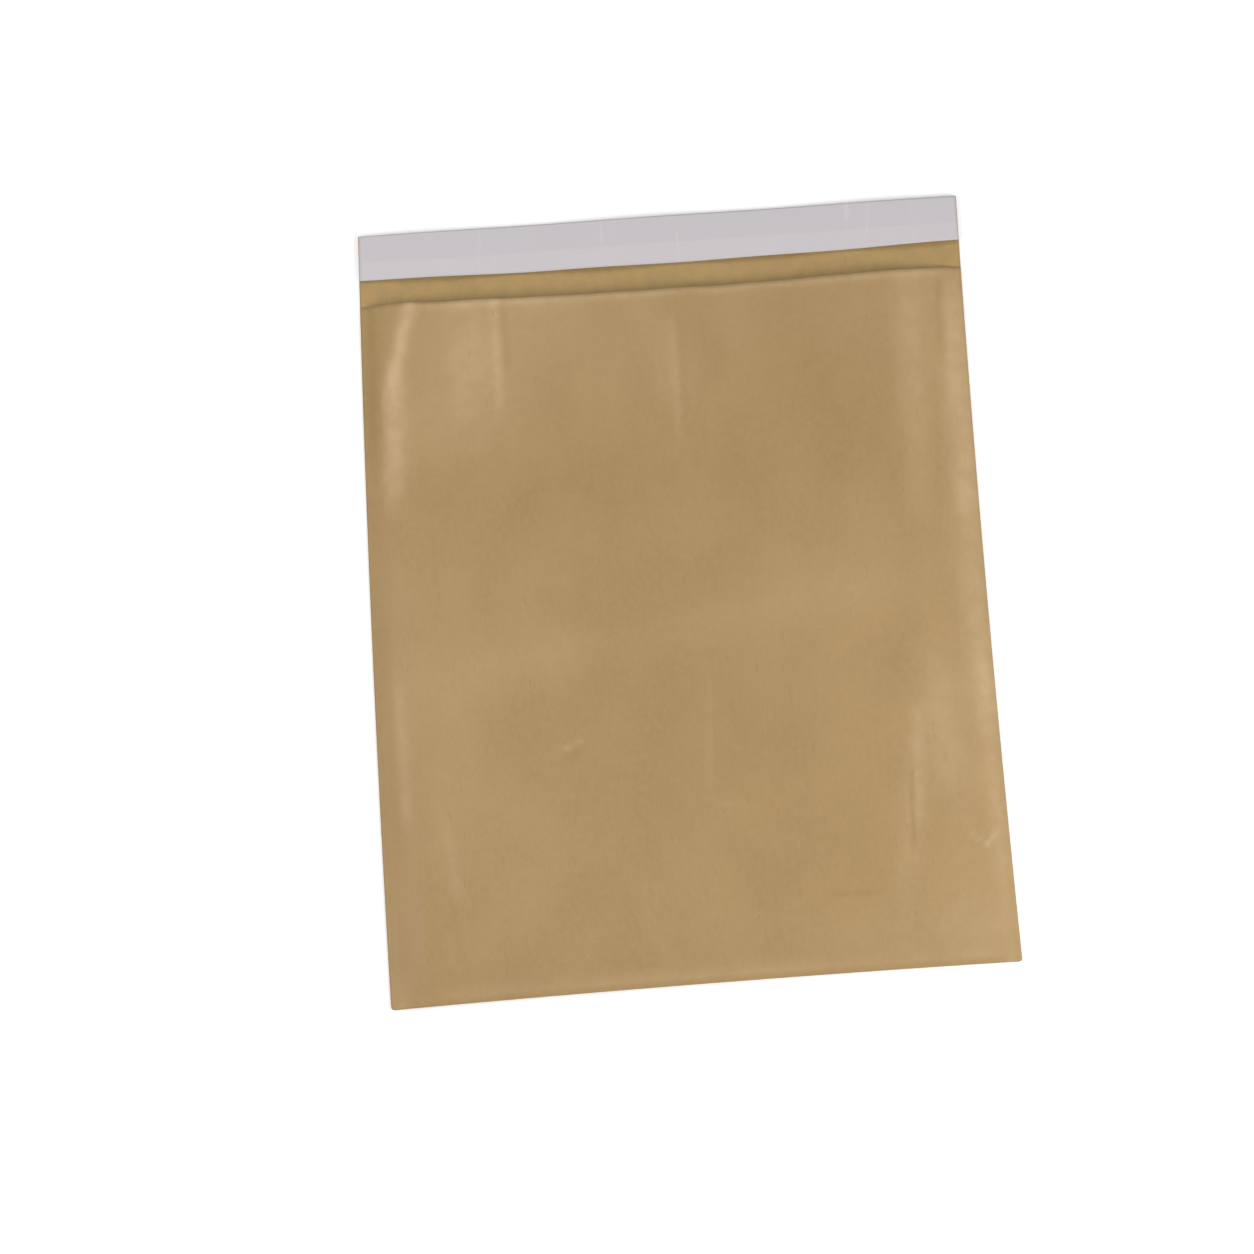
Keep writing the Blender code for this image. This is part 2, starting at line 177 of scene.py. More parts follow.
# Painted light and shade of the front panel, on its creases, shoulders and edges: paler above 0 and darker
# below, described as the creases are
PAINTED_LIGHT_AND_SHADE = (
    # Beside the left seam: the painted highlight of the pale streak, and the painted shade of the darker
    # strip outside it
    ((0.0255, 0.002), (0.0162, 0.039), 0.0038, 1.1),
    ((0.0155, 0.056), (0.0145, 0.088), 0.0062, 0.9),
    ((0.0125, 0.205), (0.0135, 0.260), 0.0030, 0.4),
    ((0.0058, 0.010), (0.0050, 0.080), 0.0050, -0.7),
    ((0.0040, 0.120), (0.0040, 0.300), 0.0050, -0.18),
    # Below the mouth: painted highlights on the short creases with painted shade on their dark side, and
    # painted light and shade in patches around them
    ((0.0680, 0.000), (0.0695, 0.052), 0.0025, 0.4),
    ((0.0730, 0.008), (0.0740, 0.034), 0.0022, -0.3),
    ((0.1575, 0.022), (0.1585, 0.078), 0.0026, 0.25),
    ((0.1615, 0.018), (0.1625, 0.074), 0.0020, -0.2),
    ((0.0530, 0.008), (0.0540, 0.028), 0.0120, 0.3),
    ((0.0750, 0.010), (0.0700, 0.020), 0.0300, 0.35),
    ((0.1500, 0.020), (0.1540, 0.035), 0.0120, 0.2),
    ((0.1850, 0.008), (0.1900, 0.026), 0.0100, 0.3),
    ((0.2150, 0.045), (0.2200, 0.050), 0.0260, -0.4),
    ((0.1850, 0.070), (0.1880, 0.135), 0.0110, -0.2),
    # Beside the right seam, from the mouth down: painted sheen, and one line of painted shade
    ((0.2930, 0.012), (0.2920, 0.042), 0.0025, -0.3),
    ((0.2775, 0.020), (0.2755, 0.100), 0.0090, 0.5),
    ((0.2995, 0.030), (0.2990, 0.118), 0.0080, 0.8),
    ((0.2990, 0.168), (0.2995, 0.215), 0.0080, 0.55),
    ((0.3010, 0.225), (0.3010, 0.305), 0.0055, 0.4),
    # Wide bands and patches of painted light and shade in the middle
    ((0.0580, 0.104), (0.2100, 0.098), 0.0210, -0.3),
    ((0.0750, 0.191), (0.2250, 0.166), 0.0150, 0.23),
    ((0.1600, 0.205), (0.1650, 0.215), 0.0450, -0.25),
    ((0.0400, 0.240), (0.0430, 0.255), 0.0260, 0.14),
    # The valley near the lower right: a painted highlight on its pale side, and painted shade in the dark
    # line in it
    ((0.2775, 0.232), (0.2785, 0.246), 0.0100, 0.45),
    ((0.2645, 0.235), (0.2608, 0.280), 0.0034, 0.4),
    ((0.2620, 0.268), (0.2560, 0.300), 0.0080, 0.25),
    ((0.2600, 0.262), (0.2580, 0.294), 0.0013, -0.5),
    # Small marks of painted highlight and painted shade in the lower half
    ((0.1652, 0.210), (0.1628, 0.256), 0.0020, 0.25),
    ((0.1650, 0.268), (0.1765, 0.271), 0.0015, 0.35),
    ((0.0930, 0.236), (0.1000, 0.233), 0.0012, 0.4),
    ((0.0960, 0.240), (0.1010, 0.237), 0.0010, -0.4),
    ((0.0330, 0.276), (0.0360, 0.300), 0.0030, 0.25),
    ((0.0335, 0.312), (0.0345, 0.322), 0.0012, -0.35),
    ((0.2885, 0.294), (0.2925, 0.297), 0.0012, 0.5),
    ((0.2945, 0.297), (0.2978, 0.293), 0.0012, 0.5),
    ((0.2190, 0.319), (0.2380, 0.318), 0.0013, -0.4),
    # The mouth's edge, the bottom edge and the lower right corner, with a painted highlight that makes them
    # paler than the panel
    ((0.0400, 0.001), (0.2900, 0.001), 0.0030, 0.55),
    ((0.1100, 0.354), (0.2000, 0.354), 0.0045, 0.15),
    ((0.0350, 0.354), (0.2850, 0.354), 0.0055, 0.25),
    ((0.2550, 0.338), (0.2850, 0.338), 0.0200, 0.2),
)

# Tone of the flap, and of the faint lines that the seams press into the back panel
FLAP_TONE = 0.2
BACK_SEAM_TONE = 0.3
BACK_SEAM_HALF_WIDTH = 0.0016

# Plain studio: the even light from all round, the softboxes with their places and watts, and the floor,
# whose own white grows between two distances from the middle
WORLD_LEVEL = 0.34
SOFTBOX_SIZE = 0.5
SOFTBOXES = (
    ("right_softbox", (0.72, -0.42, 0.55), 5.9),
    ("left_softbox", (-0.75, -0.15, 0.55), 3.4),
    ("back_softbox", (-0.1, 0.95, 0.75), 3.5),
)
FLOOR_HALF = 4.0
FLOOR_GAP = 0.0002
FLOOR_WHITE_START = 0.4
FLOOR_WHITE_END = 1.5
FLOOR_WHITE_NEAR = 0.15
FLOOR_WHITE_FAR = 0.68

# The photograph's frame and view
FRAME_PIXELS = 1254
FOCAL_PIXELS = 3400
SENSOR = 36.0
CAMERA_PLACE = (0.01113, -0.41556, 1.63365)
CAMERA_TURN = (13.6182, 2.1564, -3.3984)
CLIP_START = 0.05


def clamp(value):
    """Keep a value between 0 and 1."""
    return np.clip(value, 0.0, 1.0)


def shoulder(distance, width):
    """Rise from 0 to 1 like a sheet that leaves a seam and rolls over onto the padding."""
    return np.sin(0.5 * math.pi * clamp(distance / width))


def ease(distance, width):
    """Rise from 0 to 1 with a level start and end."""
    share = clamp(distance / width)
    return share * share * (3 - 2 * share)


def round_corners(across, along):
    """Move points of the bottom corners' squares into the quarter discs that round the corners."""
    on_left = across < 0.5 * WIDTH
    radius = np.where(on_left, LEFT_CORNER_RADIUS, RIGHT_CORNER_RADIUS)
    inset = np.where(on_left, across, WIDTH - across)
    inside = (inset < radius) & (along < radius)
    p = np.where(inside, 1 - inset / radius, 0.0)
    q = np.where(inside, 1 - along / radius, 0.0)
    inset = np.where(inside, radius * (1 - p * np.sqrt(1 - 0.5 * q * q)), inset)
    along = np.where(inside, radius * (1 - q * np.sqrt(1 - 0.5 * p * p)), along)
    return np.where(on_left, inset, WIDTH - inset), along


def place(across, along):
    """Plan position of points of the sheet, with bowed edges, a slightly oblique bottom and round corners."""
    across, along = round_corners(across, along)
    x = across - 0.5 * WIDTH
    y = along - 0.5 * LENGTH
    lengthwise = 2 * y / LENGTH
    crown = 1 - (2 * x / WIDTH) ** 2
    from_fold = clamp(along / POCKET_LENGTH)
    to_free_edge = clamp((LENGTH - along) / FLAP_LENGTH)
    x = x + SIDE_BOW * (lengthwise ** 2 - 0.5)
    y = y + (BOTTOM_BOW * crown + BOTTOM_SKEW * 2 * x / WIDTH) * (1 - from_fold)
    y = y - MOUTH_BOW * crown * from_fold * to_free_edge
    return x, y


def random_wrinkles():
    """Short faint wrinkles scattered over the front panel, described as the creases are."""
    chance = np.random.default_rng(WRINKLE_SEED)
    wrinkles = []
    for _ in range(WRINKLES):
        across = chance.uniform(WRINKLE_SIDE_MARGIN, WIDTH - WRINKLE_SIDE_MARGIN)
        from_mouth = chance.uniform(WRINKLE_END_MARGIN, POCKET_LENGTH - WRINKLE_END_MARGIN)
        turn = chance.uniform(0, math.pi)
        half_length = chance.uniform(*WRINKLE_HALF_LENGTHS)
        step = (half_length * math.cos(turn), half_length * math.sin(turn))
        start = (across - step[0], from_mouth - step[1])
        end = (across + step[0], from_mouth + step[1])
        half_width = chance.uniform(*WRINKLE_HALF_WIDTHS)
        height = chance.uniform(-WRINKLE_HEIGHT, WRINKLE_HEIGHT)
        wrinkles.append((start, end, half_width, height))
    return tuple(wrinkles)


ALL_CREASES = CREASES + random_wrinkles()


def soft_lines(across, along, lines):
    """Sum of soft lines, each from a start to an end with a half width and the amount that it adds."""
    from_mouth = POCKET_LENGTH - along
    total = np.zeros_like(across)
    for start, end, half_width, amount in lines:
        run = Vector(end) - Vector(start)
        length = run.length
        run /= length
        onward = (across - start[0]) * run.x + (from_mouth - start[1]) * run.y
        sideways = (across - start[0]) * run.y - (from_mouth - start[1]) * run.x
        beyond = np.maximum(np.maximum(-onward, onward - length), 0)
        total += amount * np.exp(-(sideways ** 2 + (beyond / LINE_END_STRETCH) ** 2) / half_width ** 2)
    return total


def panel_waves(across, along):
    """Height of the gentle waves in the front panel."""
    total = np.zeros_like(across)
    for per_metre_across, per_metre_along, height, phase in WAVES:
        total += height * np.sin(2 * math.pi * (per_metre_across * across + per_metre_along * along) + phase)
    return total


def mouth_sinking(across, along):
    """How much lower the front panel is near the mouth, where the pad is thin and the empty pocket sinks."""
    from_mouth = POCKET_LENGTH - along
    turn = 2 * math.pi * across / MOUTH_RIPPLE_PITCH
    short_ripple = SHORT_RIPPLE_SHARE * np.sin(SHORT_RIPPLE_RATE * turn)
    ripple = MOUTH_RIPPLE * (np.sin(turn + MOUTH_RIPPLE_PHASE) + short_ripple)
    thinning = (PAD - MOUTH_PAD + ripple) * (1 - ease(from_mouth, MOUTH_TAPER))
    return thinning + MOUTH_DROOP * (1 - ease(from_mouth, DROOP_LENGTH))


def front_height(across, along):
    """Height of the front panel's outer face."""
    inset = np.minimum(across, WIDTH - across)
    base = SEAM_HEIGHT + (FOLD_HEIGHT - SEAM_HEIGHT) * ease(inset - SEAM_LEVEL_WIDTH, SEAM_WIDTH)
    puff = shoulder(across - SEAM_WIDTH, LEFT_SHOULDER)
    puff = puff * shoulder(WIDTH - across - SEAM_WIDTH, RIGHT_SHOULDER)
    puff = puff * shoulder(along, BOTTOM_SHOULDER)
    rise = FULL_HEIGHT - FOLD_HEIGHT - mouth_sinking(across, along)
    rise = rise + soft_lines(across, along, ALL_CREASES) + panel_waves(across, along)
    return base + rise * puff


def flap_height(across, along):
    """Height of the flap's underside."""
    outward = ease(along - POCKET_LENGTH, FLAP_LENGTH)
    return outward * (FLAP_LIFT + FLAP_RIPPLE * np.sin(2 * math.pi * across / FLAP_RIPPLE_PITCH))


def steps(low, high, step):
    """Even steps from low to high, both included."""
    return np.linspace(low, high, math.ceil(abs(high - low) / step) + 1)


def sheet_points(across, along, height):
    """Points of a grid on the sheet, columns first, at a height given by a function of the place on it."""
    u, v = np.meshgrid(across, along, indexing="ij")
    return np.stack([*place(u, v), height(u, v)], axis=-1)


def fold_points(across, inset=0.0):
    """Points round the bottom fold, from the underside to the top, at a distance inside the cover's face."""
    u, angle = np.meshgrid(across, np.radians(np.linspace(-90, 90, FOLD_POINTS)), indexing="ij")
    middle = 0.5 * front_height(u, np.full_like(u, FOLD_DEPTH))
    along = FOLD_DEPTH - (FOLD_DEPTH - inset) * np.cos(angle)
    return np.stack([*place(u, along), middle + (middle - inset) * np.sin(angle)], axis=-1)


def make_object(name, points, faces, material):
    """A smooth-shaded object from points and faces."""
    mesh = bpy.data.meshes.new(name)
    mesh.from_pydata(np.asarray(points).reshape(-1, 3).tolist(), [], faces)
    mesh.shade_smooth()
    mesh.materials.append(material)
    piece = bpy.data.objects.new(name, mesh)
    bpy.context.scene.collection.objects.link(piece)
    return piece


def make_sheet(name, points, thickness, material):
    """A thin sheet over a grid of points, thickened away from its outer face."""
    columns, rows = points.shape[:2]
    corner = np.arange(columns * rows).reshape(columns, rows)
    quads = np.stack([corner[:-1, :-1], corner[1:, :-1], corner[1:, 1:], corner[:-1, 1:]], axis=-1)
    piece = make_object(name, points, quads.reshape(-1, 4).tolist(), material)
    solid = piece.modifiers.new("thickness", "SOLIDIFY")
    solid.thickness = thickness
    solid.offset = -1
    return piece


def paint(piece, name, values):
    """Give a piece a value at each of its points, which its material reads by name."""
    layer = piece.data.attributes.new(name, "FLOAT", "POINT")
    layer.data.foreach_set("value", values.reshape(-1))


def paint_cover(cover, across, flap_rows, back_rows, front_along):
    """Paint the cover's tones, from the flap round to the mouth, with painted light and shade on the front
    panel, and mark the points of the flap.
    """
    on_flap = np.ones((len(across), flap_rows))
    elsewhere = np.zeros((len(across), back_rows + len(front_along)))
    inset = np.minimum(across, WIDTH - across)[:, None]
    seam_line = BACK_SEAM_TONE * np.exp(-((inset - SEAM_WIDTH) / BACK_SEAM_HALF_WIDTH) ** 2)
    back = np.repeat(seam_line, back_rows, axis=1)
    u, v = np.meshgrid(across, front_along, indexing="ij")
    # The front panel's tones are painted highlights and painted shade
    front = soft_lines(u, v, PAINTED_LIGHT_AND_SHADE)
    paint(cover, "tone", np.concatenate([FLAP_TONE * on_flap, back, front], axis=1))
    paint(cover, "flap", np.concatenate([on_flap, elsewhere], axis=1))


def make_cover(material):
    """The kraft sheet: flap and back panel, the bottom fold, and the front panel up to the mouth."""
    across = steps(0, WIDTH, ACROSS_STEP)
    flap_along = steps(LENGTH, POCKET_LENGTH, FLAP_STEP)
    back_along = steps(POCKET_LENGTH, FOLD_DEPTH, BACK_STEP)[1:-1]
    front_along = steps(FOLD_DEPTH, POCKET_LENGTH, ALONG_STEP)[1:]
    flap = sheet_points(across, flap_along, flap_height)
    back = sheet_points(across, back_along, lambda u, v: np.zeros_like(u))
    fold = fold_points(across)
    front = sheet_points(across, front_along, front_height)
    points = np.concatenate([flap, back, fold, front], axis=1)
    cover = make_sheet("envelope_paper", points, PAPER, material)
    paint_cover(cover, across, len(flap_along), len(back_along) + FOLD_POINTS, front_along)
    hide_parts("kraft_cover")
    return cover


def film_floor(across, along):
    """Height of the outer face of the lining's back film."""
    return np.full_like(across, PAPER + FILM_GAP)


def film_ceiling(across, along):
    """Height of the outer face of the lining's front film."""
    return front_height(across, along) - PAPER - FILM_GAP


def make_film(material):
    """The film of the lining: one pouch that follows the inside of the cover."""
    across = steps(FILM_SIDE_INSET, WIDTH - FILM_SIDE_INSET, FILM_STEP)
    end = POCKET_LENGTH - LINING_SETBACK
    back = sheet_points(across, steps(end, FOLD_DEPTH, FILM_STEP)[:-1], film_floor)
    front = sheet_points(across, steps(FOLD_DEPTH, end, FILM_STEP)[1:], film_ceiling)
    points = np.concatenate([back, fold_points(across, PAPER + FILM_GAP), front], axis=1)
    film = make_sheet("lining_film", points, FILM, material)
    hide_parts("bubble_lining")
    return film


def bubble_places():
    """Middles of the air bubbles, in staggered rows that keep clear of the seams, the fold and the mouth."""
    row_pitch = BUBBLE_PITCH * math.sin(math.radians(60))
    side = BUBBLE_SIDE_MARGIN + BUBBLE_RADIUS
    first = POCKET_LENGTH - LINING_SETBACK - BUBBLE_MOUTH_MARGIN - BUBBLE_RADIUS
    rows = np.arange(first, BUBBLE_FOLD_MARGIN + BUBBLE_RADIUS, -row_pitch)
    places = []
    for number, along in enumerate(rows):
        shift = 0.5 * BUBBLE_PITCH * (number % 2)
        places.extend((across, along) for across in np.arange(side + shift, WIDTH - side, BUBBLE_PITCH))
    return places


def bubble_faces(first):
    """Faces of one closed bubble, given the number of its first point."""
    count = BUBBLE_SIDES
    rings = len(BUBBLE_RINGS)
    top = first + rings * count
    faces = [tuple(first + k for k in reversed(range(count)))]
    for k in range(count):
        following = (k + 1) % count
        for low in range(first, top - count, count):
            faces.append((low + k, low + following, low + count + following, low + count + k))
        faces.append((top - count + k, top - count + following, top))
    return faces


def make_bubbles(name, on_front, material):
    """Air bubbles on one film, that stand up from the back film or hang down from the front film."""
    turns = np.linspace(0, 2 * math.pi, BUBBLE_SIDES, endpoint=False)
    turns = np.append(np.tile(turns, len(BUBBLE_RINGS)), 0.0)
    shares = np.repeat(np.array(BUBBLE_RINGS), BUBBLE_SIDES, axis=0)
    reach = np.append(shares[:, 0], 0.0) * BUBBLE_RADIUS
    level = np.append(shares[:, 1], 1.0)
    points, faces = [], []
    for across, along in bubble_places():
        u = across + reach * np.cos(turns)
        v = along + reach * np.sin(turns)
        floor = film_floor(u, v) + FILM
        ceiling = film_ceiling(u, v) - FILM
        height = np.minimum(BUBBLE_HEIGHT, BUBBLE_ROOM_SHARE * (ceiling - floor)) * level
        z = ceiling - height if on_front else floor + height
        ring = bubble_faces(len(points))
        faces.extend([face[::-1] for face in ring] if on_front else ring)
        points.extend(np.stack([*place(u, v), z], axis=-1).tolist())
    bubbles = make_object(name, points, faces, material)
    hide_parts("bubble_lining")
    return bubbles


def make_adhesive(material):
    """The band of hot-melt adhesive under the release liner."""
    across = steps(ADHESIVE_END_MARGIN, WIDTH - ADHESIVE_END_MARGIN, FLAP_STEP)
    along = steps(LENGTH - ADHESIVE_MARGIN - ADHESIVE_WIDTH, LENGTH - ADHESIVE_MARGIN, FLAP_STEP)
    top = PAPER + PLY_GAP + ADHESIVE_THICKNESS
    points = sheet_points(across, along, lambda u, v: flap_height(u, v) + top)
    strip = make_sheet("adhesive_band", points, ADHESIVE_THICKNESS, material)
    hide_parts("adhesive_strip")
    return strip


def liner_height(across, along):
    """Height of the release liner's upper face, with the curl of its loose lower edge."""
    loose = ease(LENGTH - along - ADHESIVE_WIDTH, LINER_WIDTH - ADHESIVE_WIDTH)
    curl = LINER_CURL * (0.5 - 0.5 * np.cos(2 * math.pi * across / LINER_CURL_PITCH))
    stack = PAPER + 2 * PLY_GAP + ADHESIVE_THICKNESS + LINER_THICKNESS
    return flap_height(across, along) + stack + loose * curl


def make_liner(material):
    """The release liner, flush with the flap's free edge."""
    across = steps(LINER_MARGIN, WIDTH - LINER_MARGIN, ACROSS_STEP)
    along = steps(LENGTH - LINER_WIDTH, LENGTH - LINER_MARGIN, LINER_STEP)
    liner = make_sheet("peel_liner", sheet_points(across, along, liner_height), LINER_THICKNESS, material)
    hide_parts("release_liner")
    return liner


def srgb(red, green, blue):
    """Shader colour from an sRGB colour of 0 to 255."""
    linear = []
    for share in (red / 255, green / 255, blue / 255):
        linear.append(share / 12.92 if share <= 0.04045 else ((share + 0.055) / 1.055) ** 2.4)
    return (*linear, 1.0)


# Colours of the kraft paper: its pulp, its blotches, the pale tone that also paints highlights, the painted
# shade, the flap, and its fibres
PULP_DARK = srgb(165, 136, 91)
PULP_PALE = srgb(170, 140, 96)
BLOTCH = srgb(184, 152, 107)
PALE_TONE_AND_PAINTED_HIGHLIGHT = srgb(203, 174, 134)
SHADED_DARK = srgb(142, 115, 64)
FLAP_PALE = srgb(178, 146, 90)
FLAP_DARK = srgb(166, 140, 88)
FIBRE_DARK = srgb(146, 115, 72)
FLECK_PALE = srgb(196, 170, 128)

# Colours of the film, the adhesive and the release liner, mostly between two tones, and of the floor
FILM_TONES = (srgb(222, 226, 230), srgb(242, 244, 246))
FILM_ALPHA = 0.6
ADHESIVE_TONES = (srgb(186, 178, 156), srgb(204, 198, 180))
LOOSE_LINER_TONES = (srgb(202, 196, 199), srgb(206, 200, 203))
HELD_LINER_TONES = (srgb(197, 192, 195), srgb(201, 196, 199))
LINER_SCUFF = srgb(214, 210, 213)
FLOOR_COLOUR = (0.97, 0.97, 0.97, 1.0)
WHITE = (1.0, 1.0, 1.0, 1.0)

# How strongly the mesh's tones, with their painted highlights and painted shade, and the flap's own colour
# show on the kraft paper
PALE_TONE_AND_HIGHLIGHT_STRENGTH = 0.7
SHADED_STRENGTH = 0.5
FLAP_STRENGTH = 0.7

# Depth of the fine relief that the materials give each surface
PAPER_RELIEF = 0.0003
FIBRE_RELIEF = 0.00005
FILM_RELIEF = 0.00006
ADHESIVE_RELIEF = 0.0001
LINER_RELIEF = 0.00015

# Edge of the liner's darker part: how far it wanders, and where its tone starts and ends past the adhesive
HELD_EDGE_WANDER = 0.002
HELD_EDGE_START = 0.0004
HELD_EDGE_END = 0.0016

# The noise values between which most patterns run from one tone to the other
EVEN_RUN = (0.3, 0.7)


class Nodes:
    """Short calls that build one material's nodes on its Principled shader."""

    def __init__(self, name):
        self.material = bpy.data.materials.new(name)
        self.material.use_nodes = True
        self.tree = self.material.node_tree
        self.shader = self.tree.nodes["Principled BSDF"]

    def set(self, socket, value):
        """Give a socket a value, or join it to another node's output."""
        if isinstance(value, bpy.types.NodeSocket):
            self.tree.links.new(value, socket)
        else:
            socket.default_value = value

    def finish(self, **inputs):
        """Set the shader's inputs by name."""
        for name, value in inputs.items():
            self.set(self.shader.inputs[name.replace("_", " ")], value)
        return self.material

    def add(self, kind, **inputs):
        """A node, with its inputs by name."""
        node = self.tree.nodes.new(kind)
        for name, value in inputs.items():
            self.set(node.inputs[name.replace("_", " ")], value)
        return node

    def place(self, stretch=(1, 1, 1), turn=0.0):
        """Object coordinates in metres, stretched, and turned about Z by an angle in degrees."""
        where = self.add("ShaderNodeTexCoord").outputs["Object"]
        angle = (0, 0, math.radians(turn))
        return self.add("ShaderNodeMapping", Vector=where, Scale=stretch, Rotation=angle).outputs["Vector"]

    def noise(self, per_metre, detail, stretch=(1, 1, 1), turn=0.0):
        """Noise from 0 to 1 with so many waves in a metre, and finer waves as detail grows."""
        where = self.place(stretch, turn)
        return self.add("ShaderNodeTexNoise", Vector=where, Scale=per_metre, Detail=detail).outputs["Fac"]

    def painted(self, name):
        """Value painted on the mesh's points."""
        node = self.add("ShaderNodeAttribute")
        node.attribute_name = name
        return node.outputs["Fac"]

    def compute(self, operation, one, other):
        """Result of a Math node."""
        node = self.tree.nodes.new("ShaderNodeMath")
        node.operation = operation
        self.set(node.inputs[0], one)
        self.set(node.inputs[1], other)
        return node.outputs["Value"]

    def ramp(self, value, low, high, start=0.0, end=1.0):
        """A smooth run from start to end as the value goes from low to high."""
        node = self.tree.nodes.new("ShaderNodeMapRange")
        node.interpolation_type = "SMOOTHSTEP"
        limits = {"Value": value, "From Min": low, "From Max": high, "To Min": start, "To Max": end}
        for name, number in limits.items():
            self.set(node.inputs[name], number)
        return node.outputs["Result"]

    def mix(self, share, one, other):
        """Colour that goes from one to the other."""
        node = self.tree.nodes.new("ShaderNodeMix")
        node.data_type = "RGBA"
        sockets = [socket for socket in node.inputs if socket.enabled]
        for socket, value in zip(sockets, (share, one, other)):
            self.set(socket, value)
        return next(socket for socket in node.outputs if socket.enabled)

    def bump(self, height, distance, below=None):
        """Normal of a surface raised by height times distance, over another bump or the plain surface."""
        node = self.add("ShaderNodeBump", Height=height, Distance=distance)
        if below is not None:
            self.set(node.inputs["Normal"], below)
        return node.outputs["Normal"]


def make_kraft_material():
    """Kraft paper: mottled pulp, dark and pale fibres, a slight sheen, and mesh tones that include painted
    light and shade.
    """
    nodes = Nodes("kraft_paper")
    blotches = nodes.noise(34, 3.0, stretch=(1, 0.7, 1))
    mottle = nodes.noise(420, 4.0, stretch=(1, 0.6, 1))
    fibres = nodes.noise(900, 3.0, stretch=(1, 0.14, 1), turn=12)
    flecks = nodes.noise(1300, 2.0, stretch=(0.25, 1, 1), turn=-35)
    colour = nodes.mix(nodes.ramp(mottle, *EVEN_RUN), PULP_DARK, PULP_PALE)
    colour = nodes.mix(nodes.ramp(blotches, *EVEN_RUN, 0.0, 0.3), colour, BLOTCH)
    # The mesh's tones, broken into patches: above 0 they paint highlights on the front panel and a paler tone
    # on the flap and back seams, below 0 painted shade
    patchy_tone = nodes.ramp(nodes.noise(110, 3.0), *EVEN_RUN, 0.75, 1.2)
    tone = nodes.compute("MULTIPLY", nodes.painted("tone"), patchy_tone)
    colour = nodes.mix(nodes.compute("MULTIPLY", tone, PALE_TONE_AND_HIGHLIGHT_STRENGTH), colour, PALE_TONE_AND_PAINTED_HIGHLIGHT)
    colour = nodes.mix(nodes.compute("MULTIPLY", tone, -SHADED_STRENGTH), colour, SHADED_DARK)
    patches = nodes.ramp(nodes.noise(130, 2.0), 0.35, 0.65)
    unrubbed = nodes.mix(patches, FLAP_PALE, FLAP_DARK)
    colour = nodes.mix(nodes.compute("MULTIPLY", nodes.painted("flap"), FLAP_STRENGTH), colour, unrubbed)
    colour = nodes.mix(nodes.ramp(fibres, 0.62, 0.8, 0.0, 0.35), colour, FIBRE_DARK)
    colour = nodes.mix(nodes.ramp(flecks, 0.66, 0.8, 0.0, 0.35), colour, FLECK_PALE)
    surface = nodes.bump(nodes.noise(130, 3.0), PAPER_RELIEF)
    surface = nodes.bump(fibres, FIBRE_RELIEF, surface)
    rough = nodes.ramp(mottle, *EVEN_RUN, 0.5, 0.6)
    return nodes.finish(Base_Color=colour, Roughness=rough, Normal=surface, Specular_IOR_Level=0.3)


def make_film_material():
    """Bubble film: clear polyethylene, hazy with fine drawn lines."""
    nodes = Nodes("bubble_film")
    lines = nodes.noise(300, 2.0, stretch=(1, 0.08, 1))
    colour = nodes.mix(lines, *FILM_TONES)
    rough = nodes.ramp(lines, *EVEN_RUN, 0.12, 0.24)
    surface = nodes.bump(lines, FILM_RELIEF)
    return nodes.finish(Base_Color=colour, Roughness=rough, Normal=surface, Alpha=FILM_ALPHA)


def make_adhesive_material():
    """Hot-melt adhesive: glossy, laid down in fine ribs along the band."""
    nodes = Nodes("hot_melt")
    ribs = nodes.noise(500, 2.0, stretch=(0.06, 1, 1))
    colour = nodes.mix(ribs, *ADHESIVE_TONES)
    surface = nodes.bump(ribs, ADHESIVE_RELIEF)
    return nodes.finish(Base_Color=colour, Roughness=0.22, Normal=surface)


def make_liner_material():
    """Release paper: smooth and pale, a little darker where it lies on the adhesive, with faint scuffs."""
    nodes = Nodes("release_paper")
    along = nodes.add("ShaderNodeSeparateXYZ", Vector=nodes.place()).outputs["Y"]
    wander = nodes.compute("MULTIPLY", nodes.noise(14, 2.0), HELD_EDGE_WANDER)
    border = 0.5 * LENGTH - ADHESIVE_MARGIN - ADHESIVE_WIDTH
    edge = (border + HELD_EDGE_START, border + HELD_EDGE_END)
    held = nodes.ramp(nodes.compute("ADD", along, wander), *edge)
    scuffs = nodes.noise(150, 3.0, stretch=(1, 0.12, 1), turn=4)
    grain = nodes.noise(700, 2.0)
    loose_tone = nodes.mix(grain, *LOOSE_LINER_TONES)
    held_tone = nodes.mix(grain, *HELD_LINER_TONES)
    colour = nodes.mix(held, loose_tone, held_tone)
    colour = nodes.mix(nodes.ramp(scuffs, 0.62, 0.78, 0.0, 0.4), colour, LINER_SCUFF)
    surface = nodes.bump(nodes.noise(90, 2.0, stretch=(1, 0.3, 1)), LINER_RELIEF)
    return nodes.finish(Base_Color=colour, Roughness=0.42, Normal=surface, Specular_IOR_Level=0.35)


def seen_directly(tree):
    """1 for what the camera sees itself or in gloss or glass, and 0 for light that falls on the object."""
    path = tree.nodes.new("ShaderNodeLightPath")
    seen = path.outputs["Is Camera Ray"]
    for other in ("Is Glossy Ray", "Is Transmission Ray"):
        either = tree.nodes.new("ShaderNodeMath")
        either.operation = "MAXIMUM"
        tree.links.new(seen, either.inputs[0])
        tree.links.new(path.outputs[other], either.inputs[1])
        seen = either.outputs["Value"]
    return seen


